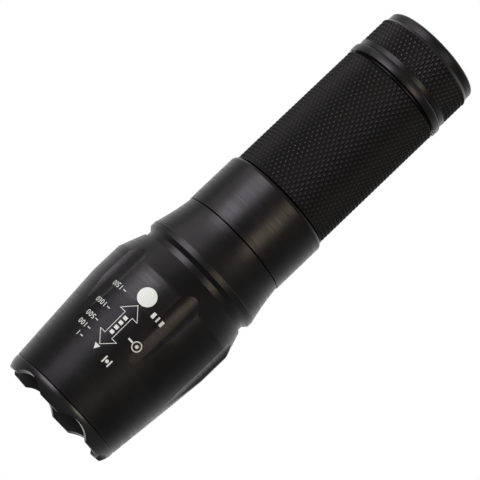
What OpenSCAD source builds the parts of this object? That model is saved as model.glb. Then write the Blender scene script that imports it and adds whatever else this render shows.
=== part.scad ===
// Hand-held zoom flashlight for one large lithium cell, standing on its tail.
// The axis is Z, the tail end face lies on Z = 0, and the beam leaves along +Z.
// The head slides along the barrel to focus, and the tail cap unscrews to free the cell.
// Screw threads are plain cylinders at their outer diameter.

/* [Cell] */
// Diameter of the wrapped cell
cell_d = 26.5; // [20:0.1:32]
// Length of the cell without its positive button
cell_len = 65; // [52:0.5:78]
// Diameter of the positive button
button_d = 9; // [6:0.5:12]
// Height of the positive button
button_h = 1.2; // [0.8:0.1:2]
// Thickness of the plastic wrap
wrap_t = 0.2; // [0.1:0.05:0.4]
// Wall of the steel can
can_t = 0.35; // [0.2:0.05:0.6]

/* [Barrel] */
// Radial play of the cell in the barrel
cell_play = 0.3; // [0.2:0.05:0.6]
// Wall of the knurled tube over the cell
tube_wall = 2.25; // [1.9:0.05:3.5]
// Length of the grip, from the tail cap's mouth to the collar
grip_len = 42.85; // [34:0.05:60]
// How far the smooth collar stands above the grip
collar_step = 0.8; // [0.4:0.1:2]
// Length of the smooth collar
collar_len = 16.5; // [13:0.1:24]
// Rounding of the collar's rear edge
collar_round = 1.3; // [0.5:0.1:1.4]
// Wall of the tube's threaded tail neck
tail_neck_wall = 1.15; // [0.9:0.05:1.2]
// Wall of the tube's threaded front neck
front_neck_wall = 1.45; // [1.1:0.05:1.6]
// Length of the front neck inside the collar
front_neck_len = 8.8; // [5:0.1:10]
// Wall of the tube that the head slides on
slide_wall = 1.75; // [1.4:0.05:2.5]

/* [Zoom head] */
// How far the head slides out
zoom_travel = 15; // [10:0.5:20]
// Rest gap between the collar and the head
head_gap = 0.2; // [0.1:0.05:0.5]
// Radial play of the head on the slide tube
slide_play = 0.05; // [0.01:0.01:0.1]
// Wall of the head sleeve at its thin rear end
sleeve_wall = 1.1; // [0.8:0.05:2]
// How far the sleeve flares out
sleeve_flare = 2.05; // [1:0.05:3]
// Length of the sleeve behind the head shell
sleeve_len = 15.5; // [12:0.1:22]
// Length of the sleeve's flare
flare_len = 10.8; // [8:0.1:11]
// Width of the land after the flare
land_w = 1.8; // [1:0.1:2]
// Depth of the neck groove in front of the land
neck_depth = 1.1; // [0.6:0.05:1.3]
// Wall of the sleeve's threaded spigot
spigot_wall = 1.55; // [1.2:0.05:2.2]
// Length of the threaded spigot in the shell
spigot_len = 7.2; // [5:0.1:12]
// Length of the head shell
shell_len = 45.7; // [38:0.1:58]
// Greatest wall of the head shell
shell_wall = 3.6; // [2.6:0.1:5]
// Height of the shell's rear rim above the spigot
rim_step = 1.25; // [0.9:0.05:2]
// Length of the shoulder cone
shoulder_len = 7; // [5:0.1:10]
// Length of the shell's widest part
barrel_len = 9.2; // [6:0.1:12]
// Wall of the shell's front end over the lens seat
front_wall = 1.37; // [1:0.01:2.5]
// Number of flutes around the shell
flute_count = 6; // [4:1:8]
// Depth of the flutes
flute_depth = 1; // [0.4:0.1:1.4]
// Radius of the flute cutter
flute_r = 8; // [5:0.5:10]
// Turn of the first flute
flute_turn = 18.75; // [0:0.25:60]

/* [Bezel and lens] */
// Diameter of the lens
lens_d = 33; // [28:0.5:42]
// Thickness of the lens flange
lens_flange_t = 2.5; // [1.5:0.1:4]
// Width of the lens flange around the dome
lens_flange_w = 1.9; // [1.7:0.1:3]
// Height of the lens dome
lens_dome_h = 11.5; // [6:0.5:11.5]
// Radial play of the lens in its seat
lens_play = 0.1; // [0.05:0.05:0.3]
// Thickness of the ledge behind the lens
ledge_t = 1.6; // [1:0.1:3]
// Cord of the lens seal
lens_seal_cord = 1.6; // [1.2:0.1:1.6]
// Wall of the bezel's threaded skirt
skirt_wall = 1.4; // [1:0.05:1.4]
// Length of the bezel in front of the shell
bezel_len = 4; // [3:0.1:7]
// Wall of the bezel at its front rim
bezel_rim_wall = 1.3; // [0.8:0.1:1.6]
// Depth of the scallops in the bezel rim
scallop_depth = 2.2; // [0.8:0.1:2.4]
// Radius of the scallop cutter
scallop_r = 8.5; // [6:0.5:10]
// Number of scallops
scallop_count = 6; // [4:1:6]
// Turn of the first scallop
scallop_turn = 10.5; // [0:0.5:60]

/* [Lamp] */
// Radial step that the lamp pillar seats on
pill_step = 0.2; // [0.1:0.05:0.4]
// Wall of the hollow lamp pillar
pill_wall = 1.2; // [1:0.1:2]
// Thickness of the pillar's front disc
pill_disc_t = 5; // [3:0.5:7]
// Setback of the pillar inside the slide tube
pill_setback = 3; // [2:0.1:4]
// Diameter of the lamp board
led_board_d = 20; // [19:0.5:22]
// Thickness of the lamp board
led_board_t = 1.6; // [1:0.1:2]
// Side of the square lamp package
led_side = 5; // [3:0.5:6]
// Height of the lamp package
led_h = 0.8; // [0.5:0.1:1.2]
// Diameter of the lamp's dome
led_dome_d = 4.4; // [2.5:0.1:4.4]
// Outer diameter of the insulated leads
lead_d = 1.2; // [0.8:0.1:1.4]
// Distance of the leads from the axis
lead_x = 8.6; // [8.2:0.1:9]
// Diameter of the lamp board's screws
led_screw_d = 2; // [1.6:0.1:2.5]
// Distance of those screws from the axis
led_screw_x = 7.4; // [6.5:0.1:8]

/* [Driver] */
// Free space for the driver's contact spring
driver_spring_len = 3.6; // [3:0.1:6]
// Thickness of the driver board
driver_board_t = 1.6; // [1:0.1:2]
// Thickness of the driver's retaining ring
driver_ring_t = 1.2; // [0.8:0.1:2]
// Width of the driver's retaining ring
driver_ring_w = 2.15; // [1.5:0.05:3]

/* [Tail cap] */
// Length of the tail cap
cap_len = 15.75; // [13:0.05:22]
// Gap between the screwed cap and the grip
cap_gap = 0.6; // [0.2:0.05:1]
// Radial play in the cap's thread
thread_play = 0.08; // [0.02:0.01:0.1]
// Pitch of the cap's thread
thread_pitch = 1; // [0.75:0.25:1.5]
// How far the cap's knurling lies below the grip
cap_drop = 0.2; // [0:0.05:0.2]
// How far the cap's mouth ring stands above its knurling
mouth_step = 0.45; // [0.4:0.05:1]
// Length of the cap's mouth ring
mouth_len = 2.2; // [1.6:0.1:2.4]
// Length of the plain band behind the mouth ring
band_len = 2; // [1.5:0.1:3]
// Length of the smooth end rim
end_rim_len = 2.7; // [2:0.1:4]
// Thickness of the cap's end wall
end_wall = 2.4; // [1.8:0.1:4]
// Wall of the cap around the switch
switch_seat_wall = 3; // [2.4:0.1:4]
// Cord of the seal at the cap's mouth
tail_seal_cord = 0.8; // [0.6:0.05:0.8]

/* [Switch] */
// Diameter of the rubber boot's dome
boot_d = 16.4; // [12:0.2:17]
// Radial play of the boot in the end wall
boot_play = 0.2; // [0.1:0.05:0.4]
// Wall of the rubber boot
boot_t = 1.2; // [0.8:0.1:1.4]
// How far the boot's top lies inside the end face
boot_recess = 0.4; // [0.2:0.1:1]
// Thickness of the slip washer on the boot
washer_t = 0.6; // [0.4:0.1:1]
// Side of the square switch housing
switch_side = 9; // [7.5:0.5:10]
// Height of the switch housing
switch_h = 4.2; // [3.8:0.1:6]
// Diameter of the plunger's stem
plunger_d = 5.2; // [4:0.1:5.4]
// Radial play of the plunger
plunger_play = 0.05; // [0.01:0.01:0.1]
// Travel of the plunger
press_travel = 1.5; // [1:0.1:1.5]
// Thickness of the switch board
switch_board_t = 1.2; // [0.8:0.1:1.6]
// Thickness of the switch's retaining ring
switch_ring_t = 1.2; // [0.8:0.1:2]
// Inner diameter of that ring
switch_ring_bore = 17.2; // [16:0.2:18]
// Length of the fitted tail spring
tail_spring_len = 7.4; // [6:0.1:12]

/* [Hidden] */
$fn = 96;

// Small gaps and edge breaks
touch = 0.05;     // gap between a spring's end and a piece that leaves it
seat_gap = 0.1;   // gap between pieces that meet end to end across a joint
edge = 0.3;       // usual edge break

// Radii, from the cell outwards
cell_r = cell_d/2;
bore_r = cell_r + cell_play;
tube_r = bore_r + tube_wall;
collar_r = tube_r + collar_step;
tail_neck_r = bore_r + tail_neck_wall;
front_neck_r = bore_r + front_neck_wall;
slide_r = bore_r + slide_wall;
sleeve_bore_r = slide_r + slide_play;
spigot_r = sleeve_bore_r + spigot_wall;
stop_r = (sleeve_bore_r + spigot_r)/2 + 0.17;
sleeve_r = sleeve_bore_r + sleeve_wall;
lens_r = lens_d/2;
lens_bore_r = lens_r + lens_play;
shell_bore_r = spigot_r;
head_r = max(shell_bore_r, lens_bore_r) + shell_wall;
front_r = lens_bore_r + front_wall;
rim_r = shell_bore_r + rim_step;
ledge_r = min(lens_r - lens_flange_w, shell_bore_r);

// Heights at the tail, from the end face upwards
boot_z = end_wall;
washer_z = boot_z + boot_t;
switch_z = washer_z + washer_t;
switch_board_z = switch_z + switch_h;
switch_ring_z = switch_board_z + switch_board_t;
switch_seat_z1 = switch_ring_z + switch_ring_t + seat_gap;
tail_neck_z0 = switch_seat_z1 + seat_gap;
cell_z0 = switch_ring_z + tail_spring_len;
cell_z1 = cell_z0 + cell_len;
terminal_z1 = cell_z1 + button_h;

// Heights of the barrel
tube_z0 = cap_len + cap_gap;
collar_z0 = cap_len + grip_len;
collar_z1 = collar_z0 + collar_len;
driver_z0 = terminal_z1 + driver_spring_len;
driver_z1 = driver_z0 + driver_board_t;
pill_z0 = driver_z0 - driver_ring_t - edge/2;

// Heights of the head
sleeve_z0 = collar_z1 + head_gap;
shell_z0 = sleeve_z0 + sleeve_len;
spigot_z1 = shell_z0 + spigot_len;
shell_z1 = shell_z0 + shell_len;
bezel_z1 = shell_z1 + bezel_len;

// The stop ring meets the spigot's end when the head is right out
stop_w = 1.2;
stop_z0 = spigot_z1 + zoom_travel + seat_gap;
slide_lip = 2.2;
slide_z1 = stop_z0 + stop_w + slide_lip;
pill_z1 = slide_z1 - pill_setback;
led_board_z1 = pill_z1 + led_board_t;
led_z1 = led_board_z1 + led_h;
ledge_gap = 2.5;
ledge_z0 = slide_z1 + ledge_gap;
lens_z0 = ledge_z0 + ledge_t;
lens_flange_z1 = lens_z0 + lens_flange_t;
skirt_z0 = lens_flange_z1 + lens_seal_cord;

// Pillar cavity: a wide seat for the driver, then a narrower hollow
pill_r = bore_r + pill_step;
driver_seat_r = pill_r - pill_wall;
pill_hollow_r = driver_seat_r - 0.9;
pill_disc_z0 = pill_z1 - pill_disc_t;

// Tail cap radii
cap_r = tube_r - cap_drop;
cap_thread_r = tail_neck_r + thread_play;
cap_seal_r = tail_neck_r + tail_seal_cord + thread_play;
mouth_r = cap_r + mouth_step;
switch_seat_r = cap_r - switch_seat_wall;
boot_r = boot_d/2;
boot_hole_r = boot_r + boot_play;
plunger_r = plunger_d/2;

// Seals on the barrel
seal_cord = 0.75;
seal_groove_w = 0.95;
front_seal_z = collar_z0 + 1.9;
slide_seal_mid = (sleeve_z0 + zoom_travel + spigot_z1)/2;
slide_seal_spread = 1.5;

// ---------------------------------------------------------------- shared shapes

// Solid of revolution about Z from [radius, height] points
module turned(points) {
  rotate_extrude() polygon(points);
}

module ring(r_in, r_out, z0, z1) {
  difference() {
    translate([0, 0, z0]) cylinder(r = r_out, h = z1 - z0);
    translate([0, 0, z0 - 1]) cylinder(r = r_in, h = z1 - z0 + 2);
  }
}

module disc(r, z0, z1) {
  translate([0, 0, z0]) cylinder(r = r, h = z1 - z0);
}

// Seal ring whose cord lies on a cylinder of radius r_in
module seal(r_in, cord, z) {
  translate([0, 0, z]) rotate_extrude() translate([r_in + cord/2, 0]) circle(r = cord/2);
}

module around(count, turn = 0) {
  for (i = [0 : count - 1]) rotate([0, 0, turn + 360*i/count]) children();
}

// Points of an arc from angle a0 to a1, as [radius, height] pairs
function arc(centre, r, a0, a1, steps = 6) =
  [for (i = [0 : steps]) centre + r*[cos(a0 + (a1 - a0)*i/steps), sin(a0 + (a1 - a0)*i/steps)]];

function unit(v) = v/norm(v);

function along(path, i) =
  unit(path[min(i + 1, len(path) - 1)] - path[max(i - 1, 0)]);

// Round wire along a path. side(i) is a direction across the path at point i.
module wire(path, sides_at, r, sides = 8) {
  n = len(path);
  points = [for (i = [0 : n - 1])
    let (u = sides_at[i], v = cross(along(path, i), u))
    for (k = [0 : sides - 1]) path[i] + r*(cos(360*k/sides)*u + sin(360*k/sides)*v)];
  walls = [for (i = [0 : n - 2]) for (k = [0 : sides - 1])
    let (a = i*sides + k, b = i*sides + (k + 1) % sides)
    each [[a, a + sides, b + sides], [a, b + sides, b]]];
  first = [for (k = [0 : sides - 1]) k];
  last = [for (k = [0 : sides - 1]) n*sides - 1 - k];
  polyhedron(points = points, faces = concat(walls, [first], [last]));
}

// Coil spring from z0 to z1, its coils going from radius r0 to r1
module coil(r0, r1, z0, z1, wire_r, turns, steps = 16, sides = 8) {
  n = turns*steps;
  path = [for (i = [0 : n]) let (s = i/n, a = 360*turns*s, r = r0 + (r1 - r0)*s)
    [r*cos(a), r*sin(a), z0 + wire_r + (z1 - z0 - 2*wire_r)*s]];
  out = [for (i = [0 : n]) let (a = 360*turns*i/n) [cos(a), sin(a), 0]];
  wire(path, out, wire_r, sides);
}

// ---------------------------------------------------------------- barrel

module battery_tube() {
  chamfer = 0.45;
  color("#26262a") difference() {
    turned([
      [bore_r, tail_neck_z0],
      [tail_neck_r - edge, tail_neck_z0],
      [tail_neck_r, tail_neck_z0 + edge],
      [tail_neck_r, tube_z0],
      [tube_r - chamfer, tube_z0],
      [tube_r, tube_z0 + chamfer],
      [tube_r, collar_z0 - edge],
      [tube_r - edge, collar_z0],
      [front_neck_r, collar_z0],
      [front_neck_r, collar_z0 + front_neck_len],
      [bore_r, collar_z0 + front_neck_len],
    ]);
    ring(front_neck_r - seal_cord, front_neck_r + 1,
         front_seal_z - seal_groove_w/2, front_seal_z + seal_groove_w/2);
  }
}

module front_seal() {
  color("#141414") seal(front_neck_r - seal_cord, seal_cord, front_seal_z);
}

module tail_seal() {
  color("#141414") seal(tail_neck_r, tail_seal_cord, cap_len - tail_seal_cord/2 - touch);
}

// Smooth collar and the tube that the head slides on, in one piece
module front_body() {
  neck_z1 = collar_z0 + front_neck_len + seat_gap;
  break = 0.15;
  color("#1e1e21") difference() {
    turned(concat(
      [[front_neck_r, collar_z0]],
      arc([collar_r - collar_round, collar_z0 + collar_round], collar_round, -90, 0),
      [
        [collar_r, collar_z1 - break],
        [collar_r - break, collar_z1],
        [slide_r, collar_z1],
        [slide_r, slide_z1 - edge],
        [slide_r - edge, slide_z1],
        [pill_r, slide_z1],
        [pill_r, pill_z0],
        [bore_r, pill_z0],
        [bore_r, neck_z1],
        [front_neck_r, neck_z1],
      ]));
    for (side = [-1, 1]) {
      z = slide_seal_mid + side*slide_seal_spread;
      ring(slide_r - seal_cord, slide_r + 1, z - seal_groove_w/2, z + seal_groove_w/2);
    }
    ring(slide_r - seal_cord, slide_r + 1, stop_z0, stop_z0 + stop_w);
  }
}

module slide_seals() {
  color("#141414") for (side = [-1, 1])
    seal(slide_r - seal_cord, seal_cord, slide_seal_mid + side*slide_seal_spread);
}

// Split spring ring that keeps the head on the barrel
module stop_ring() {
  split = 3;
  color("#8a8c8e") difference() {
    ring(slide_r - seal_cord, stop_r, stop_z0, stop_z0 + stop_w);
    translate([0, -split/2, stop_z0 - 1]) cube([stop_r + 1, split, stop_w + 2]);
  }
}

// ---------------------------------------------------------------- lamp

// Hollow pillar: driver seat behind, solid disc for the lamp in front
module lamp_pillar() {
  color("#b9bcc0") difference() {
    disc(pill_r, pill_z0, pill_z1);
    disc(driver_seat_r, pill_z0 - 1, driver_z1);
    disc(pill_hollow_r, driver_z1 - 1, pill_disc_z0);
    around(2, 90) translate([lead_x, 0, pill_disc_z0 - 1])
      cylinder(d = lead_d + 0.8, h = pill_disc_t + 2);
    around(2) translate([led_screw_x, 0, pill_disc_z0 + 1])
      cylinder(d = led_screw_d, h = pill_disc_t);
  }
}

module driver_board() {
  color("#1d5b34") disc(driver_seat_r - 0.1, driver_z0, driver_z1);
}

module driver_inductor() {
  color("#303236") translate([5, 0, driver_z1]) {
    cylinder(r = 3, h = 0.6);
    translate([0, 0, 0.6]) cylinder(r = 2.4, h = 2.2);
    translate([0, 0, 2.8]) cylinder(r = 3, h = 0.6);
  }
}

module driver_chip() {
  color("#202124") translate([-6.5, -2.5, driver_z1]) cube([4.2, 5, 1.5]);
}

module driver_capacitors() {
  color("#9c7a4c") for (y = [-4.6, 4.6])
    translate([-1, y - 0.8, driver_z1]) cube([3.2, 1.6, 1.4]);
}

module driver_spring() {
  color("#c8ccd0") coil(2.8, 4.6, terminal_z1 + touch, driver_z0, 0.4, 2.5);
}

module driver_retaining_ring() {
  notch = 1.6;
  color("#a8813c") difference() {
    ring(driver_seat_r - driver_ring_w, driver_seat_r, driver_z0 - driver_ring_t, driver_z0);
    around(2) translate([driver_seat_r - driver_ring_w - 1, -notch/2, pill_z0 - 1])
      cube([1 + notch/2, notch, driver_ring_t + 2]);
  }
}

// A lead goes straight up through the pillar and bends in over the lamp board
module lead(turn, tint) {
  lead_r = lead_d/2;
  bend = 1.3;
  pad_x = 5.6;
  slack = 0.7;
  top = led_board_z1 + lead_r;
  run = top - bend - driver_z1;
  rise = [for (k = [0 : 9]) let (s = k/10)
    [lead_x + slack*pow(sin(180*min(1, s*1.4)), 2), 0, driver_z1 + run*s]];
  turn_over = [for (a = [0 : 22.5 : 90])
    [lead_x - bend + bend*cos(a), 0, top - bend + bend*sin(a)]];
  path = concat(rise, turn_over, [[pad_x, 0, top]]);
  across = [for (p = path) [0, 1, 0]];
  color(tint) rotate([0, 0, turn]) wire(path, across, lead_r);
}

module lead_red() {
  lead(90, "#a81e1a");
}

module lead_black() {
  lead(270, "#1a1a1a");
}

module lamp_board() {
  slot = lead_d + 0.6;
  color("#e8e8e4") difference() {
    disc(led_board_d/2, pill_z1, led_board_z1);
    around(2, 90) {
      translate([lead_x, 0, pill_z1 - 1]) cylinder(d = slot, h = led_board_t + 2);
      translate([lead_x, -slot/2, pill_z1 - 1]) cube([led_board_d, slot, led_board_t + 2]);
    }
    around(2) translate([led_screw_x, 0, pill_z1 - 1])
      cylinder(d = led_screw_d + 0.2, h = led_board_t + 2);
  }
}

module lamp_board_screws() {
  head_d = led_screw_d*1.9;
  head_h = 1.2;
  shaft = led_board_t + 2.5;
  color("#c8ccd0") around(2) translate([led_screw_x, 0, led_board_z1]) difference() {
    union() {
      translate([0, 0, -shaft]) cylinder(d = led_screw_d, h = shaft + 0.1);
      cylinder(d = head_d, h = head_h);
    }
    for (turn = [0, 90]) rotate([0, 0, turn]) translate([-1, -0.2, head_h - 0.6]) cube([2, 0.4, 1]);
  }
}

module lamp_package() {
  color("#f2efe2") translate([-led_side/2, -led_side/2, led_board_z1])
    cube([led_side, led_side, led_h]);
}

module lamp_dome() {
  color("#f6e27a") intersection() {
    translate([0, 0, led_z1]) sphere(d = led_dome_d);
    disc(led_dome_d, led_z1, led_z1 + led_dome_d);
  }
}

// ---------------------------------------------------------------- zoom head

// Flared sleeve that slides on the barrel, with a threaded spigot for the shell
module head_sleeve() {
  land_z0 = sleeve_z0 + flare_len;
  land_z1 = land_z0 + land_w;
  land_r = sleeve_r + sleeve_flare;
  neck_r = land_r - neck_depth;
  steps = 8;
  flare = [for (i = [0 : steps]) let (s = i/steps)
    [sleeve_r + (sleeve_flare - 0.1)*pow(s, 1.35), sleeve_z0 + 0.1 + (flare_len - 0.1)*s]];
  color("#1e1e21") turned(concat(
    [[sleeve_bore_r, sleeve_z0], [sleeve_r - 0.1, sleeve_z0]],
    flare,
    [
      [land_r, land_z0 + 0.1],
      [land_r, land_z1],
      [neck_r, land_z1 + neck_depth],
      [neck_r, shell_z0],
      [spigot_r, shell_z0],
      [spigot_r, spigot_z1],
      [sleeve_bore_r, spigot_z1],
    ]));
}

// Fluted shell. The flutes run out by themselves on the shoulder cone and the taper.
module head_shell() {
  shoulder_z1 = shell_z0 + shoulder_len;
  taper_z0 = shoulder_z1 + barrel_len;
  flute_x = head_r - flute_depth + flute_r;
  color("#232326") difference() {
    turned([
      [shell_bore_r, shell_z0],
      [rim_r - edge, shell_z0],
      [rim_r, shell_z0 + edge],
      [head_r, shoulder_z1],
      [head_r, taper_z0],
      [front_r, shell_z1 - 0.2],
      [front_r - 0.2, shell_z1],
      [lens_bore_r, shell_z1],
      [lens_bore_r, lens_z0],
      [ledge_r, lens_z0],
      [ledge_r, ledge_z0],
      [shell_bore_r, ledge_z0],
    ]);
    around(flute_count, flute_turn) translate([flute_x, 0, shell_z0 - 1]) rotate([0, 0, 180])
      cylinder(r = flute_r, h = shell_len + 2);
  }
}

// Flat back towards the lamp, high dome towards the front
module lens() {
  dome_r = lens_r - lens_flange_w;
  ball_r = (dome_r*dome_r + lens_dome_h*lens_dome_h)/(2*lens_dome_h);
  color([0.8, 0.9, 0.95, 0.5]) union() {
    disc(lens_r, lens_z0, lens_flange_z1);
    intersection() {
      translate([0, 0, lens_flange_z1 + lens_dome_h - ball_r]) sphere(r = ball_r);
      disc(dome_r, lens_flange_z1 - 0.5, lens_flange_z1 + lens_dome_h + 1);
    }
  }
}

module lens_seal() {
  color("#141414")
    seal(lens_bore_r - lens_seal_cord, lens_seal_cord, lens_flange_z1 + lens_seal_cord/2);
}

// Threaded skirt inside the shell, scalloped rim in front of it
module bezel_ring() {
  rear_r = front_r - 0.05;
  rim_out_r = front_r - 0.65;
  rim_in_r = rim_out_r - bezel_rim_wall;
  skirt_in_r = lens_bore_r - skirt_wall;
  groove = 0.45;
  band = 1.3;       // chamfer and straight band behind the taper
  color("#2a2a2d") difference() {
    turned([
      [skirt_in_r, skirt_z0],
      [lens_bore_r, skirt_z0],
      [lens_bore_r, shell_z1],
      [rear_r - groove, shell_z1],
      [rear_r, shell_z1 + groove],
      [rear_r, shell_z1 + band],
      [rim_out_r, bezel_z1 - 0.4],
      [rim_out_r - 0.3, bezel_z1],
      [rim_in_r, bezel_z1],
      [skirt_in_r, shell_z1 - 2],
    ]);
    around(scallop_count, scallop_turn)
      translate([lens_r/2, 0, bezel_z1 - scallop_depth + scallop_r])
        rotate([0, 90, 0]) cylinder(r = scallop_r, h = lens_r);
  }
}

// ---------------------------------------------------------------- cell

module battery_can() {
  r = cell_r - wrap_t;
  top = cell_z1 - wrap_t;
  color("#b8bcc0") difference() {
    disc(r, cell_z0, top);
    disc(r - can_t, cell_z0 + can_t, top - can_t);
  }
}

// Wound foil that fills the can
module battery_core() {
  color("#7d6a52") disc(cell_r - wrap_t - can_t, cell_z0 + can_t, cell_z1 - wrap_t - can_t);
}

module battery_wrap() {
  lip = 2;
  color("#3c6e8c") union() {
    ring(cell_r - wrap_t, cell_r, cell_z0 + 0.2, cell_z1);
    ring(cell_r - wrap_t - lip, cell_r, cell_z1 - wrap_t, cell_z1);
  }
}

module battery_insulator() {
  color("#efefea") ring(button_d/2, cell_r - wrap_t - 2, cell_z1 - wrap_t, cell_z1);
}

module battery_terminal() {
  color("#d0d3d6") disc(button_d/2, cell_z1 - wrap_t, terminal_z1);
}

module tail_spring() {
  color("#c8ccd0") coil(6.4, 4.4, switch_ring_z + touch, cell_z0 - touch, 0.5, 4.5);
}

// ---------------------------------------------------------------- tail cap

module tail_cap() {
  rim_drop = 0.6;
  end_round = 1;
  notch = 0.3;
  end_r = cap_r - rim_drop;
  band_r = cap_r - 0.1;
  mouth_z0 = cap_len - mouth_len;
  band_z0 = mouth_z0 - band_len;
  color("#26262a") turned(concat(
    [[boot_hole_r, end_wall], [boot_hole_r, 0.5], [boot_hole_r + 0.5, 0]],
    arc([end_r - end_round, end_round], end_round, -90, 0),
    [
      [end_r, end_rim_len],
      [cap_r, end_rim_len + 1],
      [cap_r, band_z0],
      [band_r, band_z0 + 0.1],
      [band_r, mouth_z0 - 2*notch],
      [band_r - notch, mouth_z0 - notch],
      [band_r, mouth_z0],
    ],
    arc([mouth_r - 0.4, mouth_z0 + 0.4], 0.4, -90, 0, 4),
    arc([mouth_r - edge, cap_len - edge], edge, 0, 90, 4),
    [
      [cap_seal_r, cap_len],
      [cap_seal_r, cap_len - tail_seal_cord - edge],
      [cap_thread_r, cap_len - tail_seal_cord - edge],
      [cap_thread_r, switch_seat_z1],
      [switch_seat_r, switch_seat_z1],
      [switch_seat_r, end_wall],
    ]));
}

// Rubber boot: a flange under the end wall and a low dome in its hole
module switch_boot() {
  dome_rise = end_wall - boot_recess;
  corner = min(1, dome_rise/2);
  inner_r = boot_r - boot_t;
  ceiling = boot_recess + boot_t;
  color("#1a1a1a") turned(concat(
    [[0, boot_recess]],
    arc([boot_r - corner, boot_recess + corner], corner, -90, 0),
    [
      [boot_r, boot_z],
      [switch_seat_r - 0.2, boot_z],
      [switch_seat_r - 0.2, washer_z],
      [inner_r, washer_z],
      [inner_r, ceiling + 0.3],
      [inner_r - 0.3, ceiling],
      [0, ceiling],
    ]));
}

module boot_washer() {
  color("#c8c2b0") ring(boot_r - boot_t, switch_seat_r - 0.2, washer_z, switch_z);
}

// Housing with a blind well for the plunger, closed at the board
module switch_housing() {
  floor_t = 0.5;
  color("#2c3038") difference() {
    translate([-switch_side/2, -switch_side/2, switch_z]) cube([switch_side, switch_side, switch_h]);
    disc(plunger_r + plunger_play, switch_z - 1, switch_board_z - floor_t);
  }
}

module switch_return_spring() {
  color("#c8ccd0") coil(1.45, 1.45, boot_recess + boot_t + 1 + 2*touch, switch_board_z - 0.5,
    0.22, 5.5, 14, 6);
}

module switch_board() {
  color("#1d5b34") disc(switch_seat_r - 0.1, switch_board_z, switch_ring_z);
}

module switch_retaining_ring() {
  key_d = 1.6;
  color("#a8813c") difference() {
    ring(switch_ring_bore/2, switch_seat_r, switch_ring_z, switch_ring_z + switch_ring_t);
    around(2) translate([(switch_ring_bore/2 + switch_seat_r)/2, 0, switch_ring_z - 1])
      cylinder(d = key_d, h = switch_ring_t + 2);
  }
}

// Cup-shaped plunger: its head meets the boot, its cup holds the return spring
module switch_plunger() {
  top = boot_recess + boot_t + seat_gap;
  head_t = 0.9;
  stem_z1 = switch_board_z - 0.5 - press_travel - 0.2;
  color("#d8d4c8") difference() {
    union() {
      disc(plunger_r + 1, top, top + head_t);
      disc(plunger_r, top, stem_z1);
    }
    disc(plunger_r - 0.8, top + head_t, stem_z1 + 1);
  }
}

// ---------------------------------------------------------------- nodes

battery_tube();
front_seal();
tail_seal();
front_body();
slide_seals();
stop_ring();
lamp_pillar();
driver_board();
driver_inductor();
driver_chip();
driver_capacitors();
driver_spring();
driver_retaining_ring();
lead_red();
lead_black();
lamp_board();
lamp_board_screws();
lamp_package();
lamp_dome();
head_sleeve();
head_shell();
lens();
lens_seal();
bezel_ring();
battery_can();
battery_core();
battery_wrap();
battery_insulator();
battery_terminal();
tail_spring();
tail_cap();
switch_boot();
boot_washer();
switch_housing();
switch_return_spring();
switch_board();
switch_retaining_ring();
switch_plunger();
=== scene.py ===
# Hand-held zoom flashlight for one large lithium cell, standing on its tail cap.
# The axis is Z, the tail end face lies on Z = 0, and the beam leaves along +Z.
# The pieces follow in the order in which the light is put together.
import math
import bpy
from mathutils import Matrix, Vector


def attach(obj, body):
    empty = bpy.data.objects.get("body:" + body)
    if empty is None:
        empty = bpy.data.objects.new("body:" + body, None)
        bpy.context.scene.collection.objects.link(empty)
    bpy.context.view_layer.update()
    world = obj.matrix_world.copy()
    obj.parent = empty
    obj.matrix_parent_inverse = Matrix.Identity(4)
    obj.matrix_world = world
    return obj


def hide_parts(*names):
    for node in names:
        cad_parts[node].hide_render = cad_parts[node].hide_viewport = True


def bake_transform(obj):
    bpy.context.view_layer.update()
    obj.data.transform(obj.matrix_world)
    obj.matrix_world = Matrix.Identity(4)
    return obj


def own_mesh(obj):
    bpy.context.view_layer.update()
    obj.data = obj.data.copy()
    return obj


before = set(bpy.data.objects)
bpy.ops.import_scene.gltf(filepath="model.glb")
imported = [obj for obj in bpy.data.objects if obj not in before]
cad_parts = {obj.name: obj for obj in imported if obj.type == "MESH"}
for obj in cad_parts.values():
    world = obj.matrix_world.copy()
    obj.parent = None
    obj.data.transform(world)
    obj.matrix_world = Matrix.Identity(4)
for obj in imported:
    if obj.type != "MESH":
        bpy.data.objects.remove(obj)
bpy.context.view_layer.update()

# Battery tube: drawn aluminium tube, turned and bored, with a cut diamond knurl for grip.
# Its tail end carries a thread for the cap, and its front end a thread for the collar.
# The knurl is cut with pointed diamonds, then blasted and hard anodised black.
mm = 0.001
origin = (0.0, 0.0, 0.0)
# How a pattern is stretched: the same every way, or into rings round the axis
even = (1.0, 1.0, 1.0)
turning = (0.02, 0.02, 1.0)


def linear(hex_colour):
    """An sRGB hex colour as a linear one."""
    parts = [int(hex_colour[i:i + 2], 16) / 255 for i in (1, 3, 5)]
    return [c / 12.92 if c <= 0.04045 else ((c + 0.055) / 1.055) ** 2.4 for c in parts] + [1.0]


def add(finish, kind, inputs=(), **settings):
    """Adds a node to a finish. inputs gives each socket a value or another node's output."""
    node = finish.node_tree.nodes.new(kind)
    for name, value in settings.items():
        setattr(node, name, value)
    for socket, value in dict(inputs).items():
        if isinstance(value, bpy.types.NodeSocket):
            finish.node_tree.links.new(value, node.inputs[socket])
        else:
            node.inputs[socket].default_value = value
    return node


def new_finish(name, **values):
    """An empty finish with its surface shader, whose sockets take the values given."""
    finish = bpy.data.materials.new(name)
    finish.use_nodes = True
    finish.node_tree.nodes.clear()
    surface = add(finish, "ShaderNodeBsdfPrincipled")
    for socket, value in values.items():
        surface.inputs[socket.replace("_", " ")].default_value = value
    add(finish, "ShaderNodeOutputMaterial", {"Surface": surface.outputs[0]})
    return finish, surface


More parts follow.
